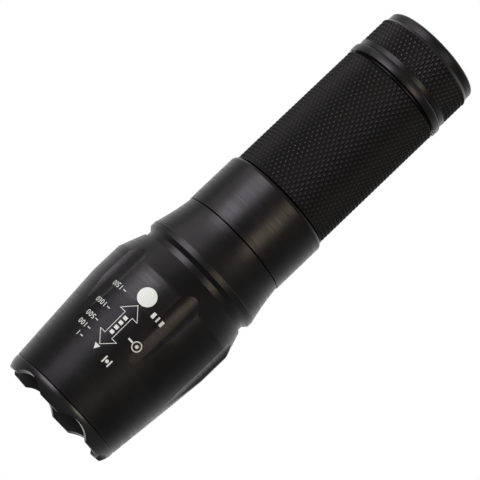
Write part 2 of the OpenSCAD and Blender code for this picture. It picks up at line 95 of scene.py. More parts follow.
def grain(finish, scale, size, detail=2.0):
    """Mottle of the given grain size in mm, after the object's own place is stretched by scale."""
    place = add(finish, "ShaderNodeTexCoord").outputs["Object"]
    place = add(finish, "ShaderNodeMapping", {"Vector": place, "Scale": scale}).outputs[0]
    return add(finish, "ShaderNodeTexNoise",
               {"Vector": place, "Scale": 1000 / size, "Detail": detail}).outputs["Fac"]


def between(finish, factor, low, high, at=(0.3, 0.7)):
    """A number that runs from low to high while the factor runs over the range at."""
    return add(finish, "ShaderNodeMapRange", {
        "Value": factor, "From Min": at[0], "From Max": at[1], "To Min": low, "To Max": high,
    }).outputs[0]


def tint(finish, factor, dark, light, at=(0.3, 0.7)):
    """A colour that runs from dark to light while the factor runs over the range at."""
    ramp = add(finish, "ShaderNodeValToRGB", {"Fac": factor})
    ramp.color_ramp.elements[0].position = at[0]
    ramp.color_ramp.elements[1].position = at[1]
    ramp.color_ramp.elements[0].color = linear(dark)
    ramp.color_ramp.elements[1].color = linear(light)
    return ramp.outputs[0]


def link(finish, output, surface, socket):
    """Joins a node's output to a socket of the surface shader."""
    finish.node_tree.links.new(output, surface.inputs[socket])


def relief(finish, surface, height, depth, below=None):
    """Bump of the given depth in mm from a height that runs from 0 to 1."""
    inputs = {"Height": height, "Distance": depth * mm, "Strength": 1.0}
    if below:
        inputs["Normal"] = below
    bump = add(finish, "ShaderNodeBump", inputs).outputs[0]
    link(finish, bump, surface, "Normal")
    return bump


def anodised(name, dark, light, rough, line_depth):
    """Black anodised aluminium: blast grain, and turning lines round the axis."""
    finish, surface = new_finish(name, Metallic=1.0)
    # Turning feed is about 0.1 mm; the lines are drawn 0.45 mm apart so that they show.
    # Blast pits are about 0.05 mm across, and are drawn at 0.18 mm for the same reason
    lines = grain(finish, turning, size=0.45, detail=3.0)
    blast = grain(finish, even, size=0.18, detail=3.0)
    clouds = grain(finish, even, size=9.0, detail=2.0)
    link(finish, tint(finish, clouds, dark, light), surface, "Base Color")
    link(finish, between(finish, lines, rough - 0.06, rough + 0.06), surface, "Roughness")
    fine = relief(finish, surface, blast, 0.012)
    relief(finish, surface, lines, line_depth, below=fine)
    return finish


# Hard anodised and blasted: nearly black, with a soft satin highlight that lines break up
satin_black = anodised("hard_anodised_satin", "#131212", "#181717", rough=0.34, line_depth=0.009)


def turned(name, outline, steps=144, closed=True):
    """A piece turned about Z from its outline, a run of [radius, height] points in mm."""
    bpy.ops.object.select_all(action="DESELECT")
    first_r, first_z = outline[0]
    bpy.ops.mesh.primitive_circle_add(vertices=steps, radius=first_r * mm, location=origin)
    piece = bpy.context.object
    piece.name = piece.data.name = name
    bpy.ops.object.mode_set(mode="EDIT")
    bpy.ops.mesh.select_all(action="SELECT")
    bpy.ops.transform.translate(value=(0, 0, first_z * mm))
    points = list(outline) + ([outline[0]] if closed else [])
    for (r0, z0), (r1, z1) in zip(points, points[1:]):
        bpy.ops.mesh.extrude_region_move(
            TRANSFORM_OT_translate={"value": (0, 0, (z1 - z0) * mm)})
        if r1 != r0:
            grow = max(r1, 1e-6) / r0
            bpy.ops.transform.resize(value=(grow, grow, 1), center_override=(0, 0, z1 * mm))
    bpy.ops.mesh.select_all(action="SELECT")
    bpy.ops.mesh.remove_doubles(threshold=0.002 * mm)
    bpy.ops.mesh.normals_make_consistent(inside=False)
    bpy.ops.object.mode_set(mode="OBJECT")
    return piece


def keep_only(piece):
    """Makes one piece the only one that is selected, and the active one."""
    bpy.ops.object.select_all(action="DESELECT")
    piece.select_set(True)
    bpy.context.view_layer.objects.active = piece


def apply(piece, kind, **settings):
    """Puts a modifier on a piece and applies it."""
    keep_only(piece)
    step = piece.modifiers.new("step", kind)
    for name, value in settings.items():
        setattr(step, name, value)
    bpy.ops.object.modifier_apply(modifier=step.name)


def finished(piece, finish, body, slot, *stands_for, angle=30):
    """Gives a piece its finish and shading, and hangs it on its body in place of CAD nodes."""
    keep_only(piece)
    bpy.ops.object.shade_smooth_by_angle(angle=math.radians(angle))
    piece.data.materials.clear()
    piece.data.materials.append(finish)
    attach(piece, body)
    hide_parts(*stands_for)
    return piece


def select_vertices(piece, wanted):
    """Selects the vertices for which wanted(place in mm) is true, and goes to edit mode."""
    if piece.mode == "EDIT":
        bpy.ops.object.mode_set(mode="OBJECT")
    keep_only(piece)
    bpy.ops.object.mode_set(mode="EDIT")
    bpy.ops.mesh.select_mode(type="VERT")
    bpy.ops.mesh.select_all(action="DESELECT")
    bpy.ops.object.mode_set(mode="OBJECT")
    for vertex in piece.data.vertices:
        vertex.select = wanted(vertex.co / mm)
    bpy.ops.object.mode_set(mode="EDIT")


def arc(centre_r, centre_z, r, start, end, steps=6):
    """Points of an arc in an outline, from angle start to end in degrees."""
    turns = [math.radians(start + (end - start) * i / steps) for i in range(steps + 1)]
    return [(centre_r + r * math.cos(a), centre_z + r * math.sin(a)) for a in turns]


def thread(r, z0, z1, pitch, depth):
    """Outline of thread crests and roots from z0 to z1, drawn as rings."""
    count = int((z1 - z0) / pitch)
    points = []
    for i in range(count):
        z = z0 + (z1 - z0) * i / count
        step = (z1 - z0) / count
        points += [(r, z + 0.1 * step), (r - depth, z + 0.45 * step),
                   (r - depth, z + 0.6 * step), (r, z + 0.95 * step)]
    return points


# 70 starts to the turn at 30 degrees to the axis, so 140 half pitches of 0.71 mm round the tube
knurl_starts = 70
knurl_depth = 0.36


def knurl_rings(r, z0, z1, rows):
    """Outline points that give the knurled wall one ring of vertices for each row."""
    return [(r, z0 + (z1 - z0) * j / rows) for j in range(rows + 1)]


def knurl(piece, r, z0, z1, rows):
    """Cuts the diamonds: every second crossing is pushed in, and the tips are blunted."""
    column = math.pi / knurl_starts
    row = (z1 - z0) / rows

    def crossing(co):
        return (round(math.atan2(co.y, co.x) / column) + round((co.z - z0) / row)) % 2

    def on_wall(co):
        return abs(math.hypot(co.x, co.y) - r) < 0.01 and z0 - 0.01 < co.z < z1 + 0.01

    select_vertices(piece, lambda co: on_wall(co) and crossing(co) == 1)
    cut = 1 - knurl_depth / r
    bpy.ops.transform.resize(value=(cut, cut, 1), center_override=origin)
    bpy.ops.mesh.vert_connect()
    select_vertices(piece, lambda co: on_wall(co) and z0 + 0.1 < co.z < z1 - 0.1)
    bpy.ops.mesh.bevel(offset=0.17 * mm, affect="VERTICES")
    bpy.ops.object.mode_set(mode="OBJECT")


def knurled(name, dark, light, tip_r):
    """The same anodising on a knurl: the grooves stay dull and the tips are painted lighter, a
    painted highlight.
    """
    finish, surface = new_finish(name, Metallic=1.0)
    place = add(finish, "ShaderNodeTexCoord").outputs["Object"]
    flat = add(finish, "ShaderNodeVectorMath", {0: place, 1: (1.0, 1.0, 0.0)},
               operation="MULTIPLY").outputs[0]
    radius = add(finish, "ShaderNodeVectorMath", {0: flat}, operation="LENGTH").outputs["Value"]
    height = between(finish, radius, 0.0, 1.0, ((tip_r - 0.2) * mm, tip_r * mm))
    blast = grain(finish, even, size=0.25, detail=3.0)
    # The tips, where the knurl stands highest, are painted lighter: a painted highlight, broken up
    # by the grain
    painted_tip_highlight = add(finish, "ShaderNodeMath", {0: height, 1: blast}, operation="MULTIPLY").outputs[0]
    link(finish, tint(finish, painted_tip_highlight, dark, light, (0.15, 0.75)), surface, "Base Color")
    link(finish, between(finish, height, 0.5, 0.38, (0.0, 1.0)), surface, "Roughness")
    relief(finish, surface, blast, 0.01)
    return finish


tube_r, bore_r = 15.8, 13.55
tail_thread_r, front_thread_r, thread_depth, pitch = 14.7, 15.0, 0.45, 1.0
tube_z0, tube_z1 = 16.35, 58.6
grip_z0, grip_z1, grip_rows = 16.95, 58.15, 35
battery_tube = turned("grip_tube", [
    (bore_r, 11.3), (bore_r + 0.3, 11.0), (tail_thread_r - 0.35, 11.0), (tail_thread_r, 11.35),
    *thread(tail_thread_r, 11.5, 14.6, pitch, thread_depth),
    (tail_thread_r, 14.7), (tail_thread_r, tube_z0),
    (tube_r - 0.45, tube_z0), (tube_r, tube_z0 + 0.45),
    *knurl_rings(tube_r, grip_z0, grip_z1, grip_rows),
    (tube_r - 0.05, tube_z1 - 0.3), (tube_r - 0.4, tube_z1),
    (front_thread_r, tube_z1), (front_thread_r, 60.0), (front_thread_r - 0.75, 60.05),
    (front_thread_r - 0.75, 60.95), (front_thread_r, 61.0),
    (front_thread_r, 67.4), (bore_r, 67.4),
], steps=2 * knurl_starts)
knurl(battery_tube, tube_r, grip_z0, grip_z1, grip_rows)
# On the knurl the same anodising looks coarser: dark grooves, and tips painted slightly lighter as
# a painted highlight
grip_black = knurled("hard_anodised_knurl", "#131212", "#323030", tube_r)
finished(battery_tube, grip_black, "barrel", "black_anodised", "battery_tube", angle=20)


def smooth_outside(piece, finish, z0, z1):
    """Gives the faces outside the knurl, which no tool has cut, the plain satin finish."""
    piece.data.materials.append(finish)
    for face in piece.data.polygons:
        middle = face.center / mm
        if not (z0 < middle.z < z1 and math.hypot(middle.x, middle.y) > 15.05):
            face.material_index = 1


smooth_outside(battery_tube, satin_black, grip_z0, grip_z1)

# Seal rings: moulded black rubber cords in grooves at the tube's front and tail threads and
# on the slide tube, where they give the head its friction. They are stretched into place.
def moulded_rubber(name, colour, rough):
    """Black moulded rubber: matt, with a faint grain from the mould."""
    finish, surface = new_finish(name, Base_Color=linear(colour), Specular_IOR_Level=0.35)
    skin = grain(finish, even, size=0.2, detail=3.0)
    link(finish, between(finish, skin, rough - 0.08, rough + 0.08), surface, "Roughness")
    relief(finish, surface, skin, 0.012)
    return finish


def carried(finish, *names):
    """CAD nodes that are shown as they are get their finish here."""
    for name in names:
        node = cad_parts[name]
        node.data.materials.clear()
        node.data.materials.append(finish)


# Nitrile rubber, wiped with grease: matt black with a slight shine
seal_rubber = moulded_rubber("nitrile_rubber_seal", "#121212", rough=0.5)
carried(seal_rubber, "front_seal", "tail_seal", "slide_seals", "lens_seal")

# Smooth collar and slide tube: one turned piece, screwed onto the tube's front thread.
# Its rear edge is rounded, its front edge meets the head, and it carries the seal grooves.
slide_r, collar_r, collar_z1, slide_z1 = 15.3, 16.6, 75.1, 116.5


def groove(r, depth, z, width):
    """Outline points of a square seal groove centred on the height z."""
    return [(r, z - width / 2), (r - depth, z - width / 2), (r - depth, z + width / 2),
            (r, z + width / 2)]


front_body = turned("collar_and_slide_tube", [
    (front_thread_r, tube_z1), *arc(15.3, 59.9, 1.3, -90, 0, 10), (collar_r, 67.0),
    (collar_r, collar_z1 - 0.15), (collar_r - 0.15, collar_z1),
    (slide_r, collar_z1),
    *groove(slide_r, 0.75, 92.65, 0.95), *groove(slide_r, 0.75, 95.65, 0.95),
    (slide_r, 113.1), (slide_r - 0.75, 113.1), (slide_r - 0.75, 114.3), (slide_r, 114.3),
    (slide_r, slide_z1 - 0.3), (slide_r - 0.3, slide_z1), (13.75, slide_z1), (13.75, 85.45),
    (bore_r, 85.45), (bore_r, 67.5), (front_thread_r, 67.5),
], steps=160)
finished(front_body, satin_black, "barrel", "black_anodised", "front_body")

# Stop ring: a split ring bent from hardened spring steel, snapped into the last groove.
# The head's spigot runs against it when the head is right out.
def drawn_steel(name, dark, light, rough):
    """Bright steel wire or sheet: fine drawing marks over a clean metal."""
    finish, surface = new_finish(name, Metallic=1.0)
    # Drawing marks are finer than 0.1 mm, and are drawn at 0.3 mm so that they show
    marks = grain(finish, (1.0, 1.0, 6.0), size=0.3, detail=2.0)
    stain = grain(finish, even, size=2.5, detail=3.0)
    link(finish, tint(finish, stain, dark, light), surface, "Base Color")
    link(finish, between(finish, marks, rough - 0.06, rough + 0.1), surface, "Roughness")
    relief(finish, surface, marks, 0.004)
    return finish


# Hardened steel keeps a grey-blue oxide, so it is darker than plated steel
spring_steel = drawn_steel("hardened_spring_steel", "#6f7277", "#93969b", rough=0.3)
carried(spring_steel, "stop_ring")

# Lamp pillar: bare turned aluminium that carries the heat from the lamp to the barrel.
# The driver sits in its rear, and the lamp board is screwed to its front face.
bare_aluminium, bare_surface = new_finish("machined_bare_aluminium", Metallic=1.0)
tool_marks = grain(bare_aluminium, turning, size=0.4, detail=3.0)
# Cut with a sharp tool and left bare: pale grey with rings of tool marks, which are drawn
# 0.4 mm apart so that they show, not at the real feed of 0.1 mm
link(bare_aluminium, tint(bare_aluminium, tool_marks, "#b4b7ba", "#c9ccce"),
     bare_surface, "Base Color")
link(bare_aluminium, between(bare_aluminium, tool_marks, 0.22, 0.36), bare_surface, "Roughness")
relief(bare_aluminium, bare_surface, tool_marks, 0.01)
carried(bare_aluminium, "lamp_pillar")

# Driver: a round glass-fibre board with its coil, chip and two capacitors, pressed
# against the pillar by a notched brass ring, with a contact spring towards the cell.
def board(name, dark, light):
    """Solder resist on glass-fibre board: glossy, and the weave shows through."""
    finish, surface = new_finish(name, Specular_IOR_Level=0.5)
    place = add(finish, "ShaderNodeTexCoord").outputs["Object"]
    # Glass cloth has a thread every 0.45 mm or so
    weave = add(finish, "ShaderNodeTexChecker", {"Vector": place, "Scale": 1000 / 0.45})
    mottle = grain(finish, even, size=0.8, detail=2.0)
    link(finish, tint(finish, mottle, dark, light), surface, "Base Color")
    link(finish, between(finish, mottle, 0.25, 0.4), surface, "Roughness")
    relief(finish, surface, weave.outputs["Fac"], 0.008)
    return finish


def component(name, dark, light, rough, speck_size):
    """Moulded or fired part: a plain colour, slightly speckled, with a fine skin."""
    finish, surface = new_finish(name)
    speck = grain(finish, even, size=speck_size, detail=3.0)
    link(finish, tint(finish, speck, dark, light), surface, "Base Color")
    link(finish, between(finish, speck, rough - 0.07, rough + 0.07), surface, "Roughness")
    relief(finish, surface, speck, 0.01)
    return finish


# Green resist over woven glass
green_board = board("solder_resist_green", "#14482a", "#1d5e38")
carried(green_board, "driver_board", "switch_board")
# Filled epoxy and ferrite: charcoal, nearly matt
dark_moulding = component("moulded_epoxy_charcoal", "#1d1e20", "#2a2b2e",
                          rough=0.55, speck_size=0.15)
carried(dark_moulding, "driver_inductor", "driver_chip", "switch_housing")
# Fired ceramic capacitors: tan and smooth
tan_ceramic = component("fired_ceramic_tan", "#8d6c43", "#a98557", rough=0.4, speck_size=0.2)
carried(tan_ceramic, "driver_capacitors")
# Drawn steel wire, nickel plated against rust like the cell's ends
nickel_plate = drawn_steel("nickel_plated_steel", "#a9abac", "#c6c8c8", rough=0.2)
carried(nickel_plate, "driver_spring", "lamp_board_screws")
# Turned brass, dulled a little by handling; its tool marks are drawn coarser too, at 0.35 mm
brass, brass_surface = new_finish("machined_brass", Metallic=1.0)
brass_marks = grain(brass, (0.05, 0.05, 1.0), size=0.35, detail=3.0)
brass_stain = grain(brass, even, size=3.0, detail=3.0)
link(brass, tint(brass, brass_stain, "#9c7c3a", "#b8964d"), brass_surface, "Base Color")
link(brass, between(brass, brass_marks, 0.22, 0.38), brass_surface, "Roughness")
relief(brass, brass_surface, brass_marks, 0.01)
carried(brass, "driver_retaining_ring", "switch_retaining_ring")

# Two leads: stranded wire in silicone, soldered to the driver and to the lamp board.
# Red is positive and black is negative, and each has a little slack in the pillar.
red_silicone = moulded_rubber("silicone_insulation_red", "#8d1512", rough=0.42)
carried(red_silicone, "lead_red")
black_silicone = moulded_rubber("silicone_insulation_black", "#151515", rough=0.42)
carried(black_silicone, "lead_black")

# Lamp: a white-coated metal-core board held by two screws, with a square ceramic
# package soldered to it and a clear silicone dome cast over the yellow phosphor.
white_resist = component("solder_resist_white", "#d6d6d0", "#e6e6e1", rough=0.35, speck_size=0.5)
carried(white_resist, "lamp_board")
pale_ceramic = component("fired_ceramic_white", "#dcd8c6", "#ebe8da", rough=0.45, speck_size=0.15)
carried(pale_ceramic, "lamp_package")
# Clear silicone over phosphor: a warm yellow that light runs about in
phosphor_dome, dome_surface = new_finish(
    "silicone_over_phosphor", Transmission_Weight=0.25, IOR=1.41,
    Subsurface_Weight=0.2, Subsurface_Scale=0.8 * mm)
powder = grain(phosphor_dome, even, size=0.3, detail=2.0)
link(phosphor_dome, tint(phosphor_dome, powder, "#e0bf3c", "#efd45c"), dome_surface, "Base Color")
link(phosphor_dome, between(phosphor_dome, powder, 0.08, 0.16), dome_surface, "Roughness")
carried(phosphor_dome, "lamp_dome")

# Head sleeve: turned in one piece, with a long flare, a narrow land, a neck groove, and
# a threaded spigot for the shell. Its bore runs on the slide tube.
sleeve_z0 = 75.3
flare = [(16.45 + 1.95 * (i / 20) ** 1.35, sleeve_z0 + 0.1 + 10.7 * i / 20) for i in range(21)]
head_sleeve = turned("flared_head_sleeve", [
    (15.35, sleeve_z0), (16.35, sleeve_z0), *flare,
    (18.5, 86.2), (18.5, 87.8), (18.42, 87.9), (17.45, 88.95), (17.4, 89.05),
    (17.4, 90.8), *thread(16.9, 90.9, 97.6, pitch, 0.4), (16.9, 98.0), (15.35, 98.0),
], steps=160)
finished(head_sleeve, satin_black, "zoom_head", "black_anodised", "head_sleeve", angle=24)

# Head shell: turned from thick bar, with a shoulder cone, a short widest part and a long
# taper to the front. Six shallow flutes are milled along it and run out by themselves.
shell_z0, shoulder_z1, taper_z0, shell_z1 = 90.8, 97.8, 107.0, 136.5
rim_r, head_r, front_r = 18.15, 20.48, 17.97
spigot_r, lens_bore_r, ledge_r, ledge_z = 16.9, 16.6, 14.6, 120.6
# The taper starts with a small radius, over 0.8 mm
bend_r, bend_z = 20.41, 107.8
head_shell = turned("fluted_head_shell", [
    (spigot_r, shell_z0), (rim_r - 0.3, shell_z0), (rim_r - 0.08, shell_z0 + 0.08),
    (rim_r, shell_z0 + 0.3), (20.32, 97.3), (20.43, 97.62), (head_r, shoulder_z1 + 0.2),
    (head_r, 102.0), (head_r, taper_z0 - 0.4), (20.47, taper_z0 + 0.1), (bend_r, bend_z),
    *[(bend_r + (front_r - bend_r) * i / 8, bend_z + 28.5 * i / 8) for i in range(1, 9)],
    (front_r - 0.2, shell_z1), (lens_bore_r, shell_z1), (lens_bore_r, ledge_z),
    (ledge_r, ledge_z), (ledge_r, 119.0), (spigot_r, 119.0),
], steps=288)
flute_count, flute_turn, flute_x, flute_r = 6, 18.75, 27.5, 8.0


def mill(piece, count, first_turn, x, z, r, length, tilt=0.0):
    """Mills equal hollows round a piece with a cutter of radius r, all in mm and degrees."""
    for i in range(count):
        turn = math.radians(first_turn + 360 * i / count)
        bpy.ops.object.select_all(action="DESELECT")
        bpy.ops.mesh.primitive_cylinder_add(
            vertices=192, radius=r * mm, depth=length * mm,
            rotation=(0, math.radians(tilt), turn),
            location=(x * math.cos(turn) * mm, x * math.sin(turn) * mm, z * mm))
        cutter = bpy.context.object
        apply(piece, "BOOLEAN", object=cutter, operation="DIFFERENCE", solver="EXACT")
        bpy.data.objects.remove(cutter)


mill(head_shell, flute_count, flute_turn, x=flute_x, z=115, r=flute_r, length=60)
finished(head_shell, satin_black, "zoom_head", "black_anodised", "head_shell", angle=14)

# Printed marks: off-white ink, pad-printed on the shell after anodising. They are a plain
# disc, a double arrow for the zoom, a pointer, a scale of numbers and small generic signs.
ink, ink_surface = new_finish("pad_printed_ink", Specular_IOR_Level=0.4)
ink_speckle = grain(ink, even, size=0.12, detail=3.0)
# Thin ink lets some of the black through, so the white is slightly uneven
link(ink, tint(ink, ink_speckle, "#6e6e6a", "#878782", (0.2, 0.6)), ink_surface, "Base Color")
link(ink, between(ink, ink_speckle, 0.45, 0.65), ink_surface, "Roughness")


def shell_radius(z, turn):
    """Radius of the shell in mm at a height and a turn from the front, flutes included."""
    if z < taper_z0:
        skin = head_r
    else:
        skin = head_r + (z - taper_z0) * (front_r - head_r) / (shell_z1 - taper_z0)
    for i in range(flute_count):
        off = turn + math.radians(270 - flute_turn - 360 * i / flute_count)
        side = flute_x * math.sin(off)
        if abs(side) < flute_r and math.cos(off) > 0:
            skin = min(skin, flute_x * math.cos(off) - math.sqrt(flute_r ** 2 - side ** 2))
    return skin


def print_bar(x, z, width, height, lean=0.0):
    """A flat bar of ink in front of the axis: x runs round the shell and z up, in mm."""
    bpy.ops.object.select_all(action="DESELECT")
    bpy.ops.mesh.primitive_plane_add(size=1, location=(x * mm, 0, z * mm),
                                     rotation=(math.pi / 2, math.radians(lean), 0))
    bpy.context.object.scale = (width * mm, height * mm, 1)
    return bpy.context.object


def print_line(x0, z0, x1, z1, width):
    """A line of ink between two places."""
    lean = math.degrees(math.atan2(x1 - x0, z1 - z0))
    long = math.hypot(x1 - x0, z1 - z0) + width
    return print_bar((x0 + x1) / 2, (z0 + z1) / 2, width, long, lean)


def print_round(x, z, r, sides=40, lean=0.0):
    """A filled disc of ink, or with few sides a filled triangle or square."""
    bpy.ops.object.select_all(action="DESELECT")
    bpy.ops.mesh.primitive_circle_add(vertices=sides, radius=r * mm, fill_type="TRIFAN",
                                      location=(x * mm, 0, z * mm),
                                      rotation=(math.pi / 2, math.radians(lean), 0))
    return bpy.context.object


# A figure of the built-in face is 0.72 of its text size high
figure_share = 0.72


def print_number(text, x, z, height):
    """A number whose figures stand the given height in mm."""
    bpy.ops.object.select_all(action="DESELECT")
    bpy.ops.object.text_add(location=(x * mm, 0, z * mm), rotation=(math.pi / 2, 0, 0))
    number = bpy.context.object
    number.data.body = text
    number.data.size = height / figure_share * mm
    number.data.space_character = 1.1
    number.data.resolution_u = 4
    bpy.ops.object.convert(target="MESH")
    return bpy.context.object


# The ink film, a hair off the metal, and the radius at which marks are wrapped round it
ink_t, ink_gap, wrap_r = 0.01, 0.004, 20


def printed(name, turn, parts, cuts=0):
    """Joins flat parts and lays them on the shell, with their x = 0 at a turn from the front."""
    bpy.ops.object.select_all(action="DESELECT")
    for part in parts:
        part.select_set(True)
    bpy.context.view_layer.objects.active = parts[0]
    bpy.ops.object.join()
    bpy.ops.object.transform_apply(location=True, rotation=True, scale=True)
    mark = bpy.context.object
    mark.name = mark.data.name = name
    bpy.ops.object.mode_set(mode="EDIT")
    bpy.ops.mesh.select_all(action="SELECT")
    if cuts:
        bpy.ops.mesh.subdivide(number_cuts=cuts)
    bpy.ops.object.mode_set(mode="OBJECT")
    for vertex in mark.data.vertices:
        x, z = vertex.co.x / mm, vertex.co.z / mm
        bearing = math.radians(turn) + x / wrap_r
        r = shell_radius(z, bearing) + ink_gap
        vertex.co = Vector((r * math.sin(bearing), -r * math.cos(bearing), z)) * mm
    apply(mark, "SOLIDIFY", thickness=ink_t * mm, offset=1.0)
    finished(mark, ink, "zoom_head", "black_anodised", angle=20)


printed("print_disc", 14.95, [print_round(0, 103.86, 2.62, 64)], cuts=3)
arrow_turn, line = 15.1, 0.16
tip_hi, base_hi, base_lo, tip_lo = 120.8, 117.7, 110.4, 107.1
head_w, shaft_w = 3.05, 1.3
outline = [(0, tip_hi), (head_w, base_hi), (shaft_w, base_hi), (shaft_w, base_lo),
           (head_w, base_lo), (0, tip_lo), (-head_w, base_lo), (-shaft_w, base_lo),
           (-shaft_w, base_hi), (-head_w, base_hi)]
sides = [print_line(*a, *b, line) for a, b in zip(outline, outline[1:] + outline[:1])]
printed("print_zoom_arrow", arrow_turn, sides, cuts=5)
printed("print_arrow_squares", arrow_turn,
        [print_bar(0, z, 1.15, 1.0) for z in (111.6, 113.2, 114.8, 116.4)], cuts=2)
printed("print_pointer", 15.9, [print_round(0, 121.7, 1.05, 3)], cuts=2)
scale_numbers = (("1", 122.43), ("100", 119.74), ("500", 116.84), ("1000", 112.6), ("1500", 106.6))
scale_turn, figure_h = 29.4, 1.5
for text, z in scale_numbers:
    printed("print_number_" + text, scale_turn, [print_number(text, 1.45, z - 0.72, figure_h)])
    printed("print_tick_" + text, scale_turn, [print_bar(0.55, z, 1.0, 0.22)])
# Narrow beam, distance and wide beam are shown by plain signs
narrow_z, distance_z, wide_z = 122.6, 114.6, 106.0
printed("print_narrow_sign", 1.5,
        [print_bar(-0.95, narrow_z, 0.42, 2.1), print_bar(0.95, narrow_z, 0.42, 2.1),
         print_round(0, narrow_z, 0.5, 24)], cuts=2)
ring_x, ring_r, ring_w = -1.0, 1.3, 0.28
ring_turns = [a * math.pi / 12 for a in range(25)]
ring_points = [(ring_x + ring_r * math.cos(a), distance_z + ring_r * math.sin(a))
               for a in ring_turns]
ring_sides = [print_line(*a, *b, ring_w) for a, b in zip(ring_points, ring_points[1:])]
printed("print_distance_sign", -3.2,
        ring_sides + [print_round(ring_x, distance_z, 0.5, 24),
                      print_bar(1.3, distance_z, 1.6, 0.5)], cuts=1)
printed("print_wide_sign", -2.2,
        [print_bar(-1.5, wide_z, 0.9, 1.6), print_bar(0, wide_z, 0.5, 1.6),
         print_bar(1.5, wide_z, 0.9, 1.6)], cuts=2)

# Lens: moulded optical glass, flat behind and a high dome in front, with a flange that
# rests on the shell's ledge and is held by the seal and the bezel.
lens_glass, glass_surface = new_finish(
    "polished_optical_glass", Base_Color=linear("#f4f8fb"), Transmission_Weight=1.0, IOR=1.52)
smear = grain(lens_glass, even, size=5.0, detail=2.0)
# Polished and clean, so only a trace of uneven gloss
link(lens_glass, between(lens_glass, smear, 0.0, 0.03), glass_surface, "Roughness")
lens_r, flange_z1, dome_r, dome_h = 16.5, 123.1, 14.6, 11.5
lens_z1 = flange_z1 + dome_h
ball_r = (dome_r ** 2 + dome_h ** 2) / (2 * dome_h)
ball_z = lens_z1 - ball_r
rise = math.degrees(math.atan2(flange_z1 - ball_z, dome_r))
dome = arc(0, ball_z, ball_r, rise, 90, 28)[:-1]
# Where an outline meets the axis it stops this far short of it, and the hole is merged shut
pole = 0.0005
lens = turned("domed_lens", [
    (pole, ledge_z), (8.0, ledge_z), (lens_r - 0.15, ledge_z), (lens_r, ledge_z + 0.15),
    (lens_r, flange_z1 - 0.15), (lens_r - 0.15, flange_z1), *dome, (pole, lens_z1),
], steps=144, closed=False)
finished(lens, lens_glass, "zoom_head", "lens_glass", "lens", angle=35)

# Bezel: a turned ring screwed into the shell's front, with six scallops milled into its rim.
# Like the other outside pieces it is hard anodised black.
bezel_z1, skirt_r = 140.5, 15.2
bezel_ring = turned("scalloped_bezel", [
    (skirt_r, 124.7), *thread(lens_bore_r, 124.9, 136.0, pitch, 0.4),
    (lens_bore_r, shell_z1), (17.72, shell_z1), (17.88, 136.66), (17.92, 136.85),
    (17.92, 137.8), (17.32, 140.1), (17.22, 140.34), (17.02, bezel_z1), (16.2, bezel_z1),
    (16.02, 140.4), (15.95, 139.8), (skirt_r, 134.5),
], steps=288)
scallop_count, scallop_turn, scallop_depth, scallop_r = 6, 10.5, 2.2, 8.5
mill(bezel_ring, scallop_count, scallop_turn, x=17, z=bezel_z1 - scallop_depth + scallop_r,
     r=scallop_r, length=10, tilt=90)
# Same anodising on a finer cut, so a little glossier, with its colour painted lighter than the
# shell's as a painted highlight
gloss_black_painted_lighter = anodised("hard_anodised_fine_painted_lighter", "#1b1a1a", "#212020", rough=0.3, line_depth=0.004)
finished(bezel_ring, gloss_black_painted_lighter, "zoom_head", "black_anodised", "bezel_ring", angle=24)

# Cell: a nickel-plated steel can with its wound core, shrunk into blue film, with a
# fibre washer and a raised button at the positive end.
carried(nickel_plate, "battery_can", "battery_terminal")
wound_foil = component("wound_foil", "#6a5a45", "#7d6b54", rough=0.6, speck_size=0.4)
carried(wound_foil, "battery_core")
fibre = component("vulcanised_fibre", "#cfccc2", "#dedbd2", rough=0.75, speck_size=0.3)
carried(fibre, "battery_insulator", "boot_washer")
shrink_film, film_surface = new_finish("heat_shrunk_film", Coat_Weight=0.4, Coat_Roughness=0.15)
film_waves = grain(shrink_film, (1.0, 1.0, 0.35), size=3.0, detail=2.0)
# Shrunk film is glossy and slightly wavy, and draws in over the ends
link(shrink_film, tint(shrink_film, film_waves, "#103350", "#13395a"), film_surface, "Base Color")
link(shrink_film, between(shrink_film, film_waves, 0.22, 0.32), film_surface, "Roughness")
relief(shrink_film, film_surface, film_waves, 0.03)
cell_r, cell_z0, cell_z1 = 13.25, 17.0, 82.0
battery_wrap = turned("cell_wrap", [
    (13.05, cell_z0), (11.2, cell_z0), (11.1, 16.93), (11.2, 16.86), (12.6, 16.86),
    (13.0, 16.98), (13.2, 17.25), (cell_r, 17.7), (cell_r, 40.0), (cell_r, 60.0),
    (cell_r, 81.3), (13.2, 81.7), (13.0, 81.93), (12.7, cell_z1), (11.2, cell_z1),
    (11.05, 81.9), (11.05, 81.8), (13.05, 81.8),
], steps=128)
finished(battery_wrap, shrink_film, "battery", "battery_wrap", "battery_wrap")


# Tail spring: wound from steel wire, a cone that gives when the cap is screwed home.
# One end is soldered to the switch board and the other presses on the cell.
def coil(name, r0, r1, z0, z1, wire_r, turns, per_turn=28, sides=10):
    """A spring of round wire in mm, its ends wound closer, its radius going from r0 to r1."""
    count = int(turns * per_turn)
    line = bpy.data.curves.new(name, "CURVE")
    line.dimensions = "3D"
    line.bevel_depth = wire_r * mm
    line.bevel_resolution = (sides - 4) // 2
    line.use_fill_caps = True
    path = line.splines.new("POLY")
    path.points.add(count)
    for i in range(count + 1):
        s = i / count
        turn = 2 * math.pi * turns * s
        r = r0 + (r1 - r0) * s
        rise = s - math.sin(2 * math.pi * s) / (2 * math.pi) * 0.55
        z = z0 + wire_r + (z1 - z0 - 2 * wire_r) * rise
        path.points[i].co = (r * math.cos(turn) * mm, r * math.sin(turn) * mm, z * mm, 1)
    spring = bpy.data.objects.new(name, line)
    bpy.context.collection.objects.link(spring)
    keep_only(spring)
    bpy.ops.object.convert(target="MESH")
    spring = bpy.context.object
    spring.name = spring.data.name = name
    bpy.ops.object.mode_set(mode="EDIT")
    bpy.ops.mesh.select_all(action="SELECT")
    bpy.ops.mesh.remove_doubles(threshold=0.001 * mm)
    bpy.ops.mesh.normals_make_consistent(inside=False)
    bpy.ops.object.mode_set(mode="OBJECT")
    return spring


